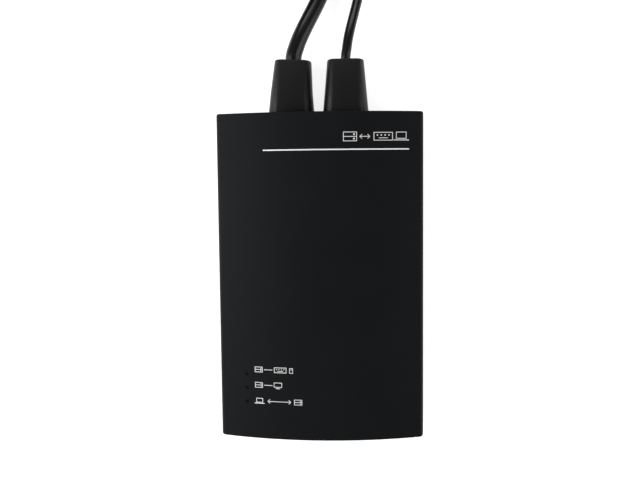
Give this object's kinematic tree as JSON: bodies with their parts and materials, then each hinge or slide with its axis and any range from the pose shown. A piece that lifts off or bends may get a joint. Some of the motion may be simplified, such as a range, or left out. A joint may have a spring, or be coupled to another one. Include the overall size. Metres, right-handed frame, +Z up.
{
  "type": "crash cart adapter",
  "caption": "Flat handheld case with an arched top, status light holes, a console socket in one end and a video lead and a keyboard lead in rubber boots at the other.",
  "frame": {"origin": "centre of the case's footprint, on the plane that its rubber feet stand on", "axes": "+Y along the case towards the end with the two leads, +X to the right when the leads point away from the viewer, +Z up out of the arched top"},
  "size_m": [0.105, 0.2953, 0.0255],
  "materials": {
    "top_cover": "fine spark-eroded texture, matte black",
    "bottom_cover": "fine spark-eroded texture, matte black",
    "case_screws": "zinc-plated steel",
    "rubber_feet": "matte black rubber",
    "circuit_board": "green solder resist on glass-epoxy",
    "board_screws": "zinc-plated steel",
    "light_guide": "clear moulded acrylic",
    "status_leds": "white lamp package",
    "console_socket_shell": "bright nickel plate on drawn steel",
    "console_socket_insert": "black moulded insulator",
    "console_socket_contacts": "gold-flashed brass",
    "video_converter_chip": "black moulded epoxy",
    "logic_chip": "black moulded epoxy",
    "memory_chip": "black moulded epoxy",
    "data_controller_chip": "black moulded epoxy",
    "clock_crystals": "bright drawn can",
    "electrolytic_capacitors": "bright drawn can",
    "power_inductor": "grey ferrite",
    "chip_capacitors": "tan ceramic with tinned ends",
    "video_lead_header": "ivory nylon",
    "video_lead_housing": "ivory nylon",
    "video_lead_wires": "grey insulated wires and black jacket",
    "data_lead_header": "ivory nylon",
    "data_lead_housing": "ivory nylon",
    "data_lead_wires": "grey insulated wires and black jacket",
    "video_boot": "semi-gloss black flexible PVC",
    "data_boot": "semi-gloss black flexible PVC",
    "video_cord": "glossy black PVC jacket",
    "video_cord_coil": "glossy black PVC jacket",
    "video_cord_tail": "glossy black PVC jacket",
    "video_coil_tie": "black hook-and-loop wrap",
    "data_cord": "glossy black PVC jacket",
    "data_cord_coil": "glossy black PVC jacket",
    "data_cord_tail": "glossy black PVC jacket",
    "data_coil_tie": "black hook-and-loop wrap",
    "video_plug_hood": "satin black moulded PVC",
    "video_plug_shell": "bright nickel plate on drawn steel",
    "video_plug_insert": "blue glass-filled nylon",
    "video_plug_pins": "gold-flashed brass",
    "thumbscrew_left_knob": "satin black nylon",
    "thumbscrew_left_screw": "zinc-plated steel",
    "thumbscrew_right_knob": "satin black nylon",
    "thumbscrew_right_screw": "zinc-plated steel",
    "data_plug_body": "satin black moulded PVC",
    "data_plug_shell": "bright nickel plate on drawn steel",
    "data_plug_insert": "white moulded insulator",
    "data_plug_contacts": "gold-flashed brass"
  },
  "bodies": {
    "adapter": {"top_cover": "top_cover", "bottom_cover": "bottom_cover", "case_screws": "case_screws", "rubber_feet": "rubber_feet", "circuit_board": "circuit_board", "board_screws": "board_screws", "light_guide": "light_guide", "status_leds": "status_leds", "console_socket_shell": "console_socket_shell", "console_socket_insert": "console_socket_insert", "console_socket_contacts": "console_socket_contacts", "video_converter_chip": "video_converter_chip", "logic_chip": "logic_chip", "memory_chip": "memory_chip", "data_controller_chip": "data_controller_chip", "clock_crystals": "clock_crystals", "electrolytic_capacitors": "electrolytic_capacitors", "power_inductor": "power_inductor", "chip_capacitors": "chip_capacitors", "video_lead_header": "video_lead_header", "video_lead_housing": "video_lead_housing", "video_lead_wires": "video_lead_wires", "data_lead_header": "data_lead_header", "data_lead_housing": "data_lead_housing", "data_lead_wires": "data_lead_wires", "video_boot": "video_boot", "data_boot": "data_boot", "video_cord": "video_cord", "video_cord_coil": "video_cord_coil", "video_cord_tail": "video_cord_tail", "video_coil_tie": "video_coil_tie", "data_cord": "data_cord", "data_cord_coil": "data_cord_coil", "data_cord_tail": "data_cord_tail", "data_coil_tie": "data_coil_tie", "video_plug_hood": "video_plug_hood", "video_plug_shell": "video_plug_shell", "video_plug_insert": "video_plug_insert", "video_plug_pins": "video_plug_pins", "data_plug_body": "data_plug_body", "data_plug_shell": "data_plug_shell", "data_plug_insert": "data_plug_insert", "data_plug_contacts": "data_plug_contacts"},
    "thumbscrew_left": {"thumbscrew_left_knob": "thumbscrew_left_knob", "thumbscrew_left_screw": "thumbscrew_left_screw"},
    "thumbscrew_right": {"thumbscrew_right_knob": "thumbscrew_right_knob", "thumbscrew_right_screw": "thumbscrew_right_screw"}
  },
  "joints": [
    {"name": "thumbscrew_left_turn", "type": "hinge", "parent": "adapter", "child": "thumbscrew_left", "pos_m": [0.00291, 0.207, 0.00775], "axis": [0, 1, 0], "continuous": true},
    {"name": "thumbscrew_right_turn", "type": "hinge", "parent": "adapter", "child": "thumbscrew_right", "pos_m": [0.02789, 0.207, 0.00775], "axis": [0, 1, 0], "continuous": true}
  ]
}
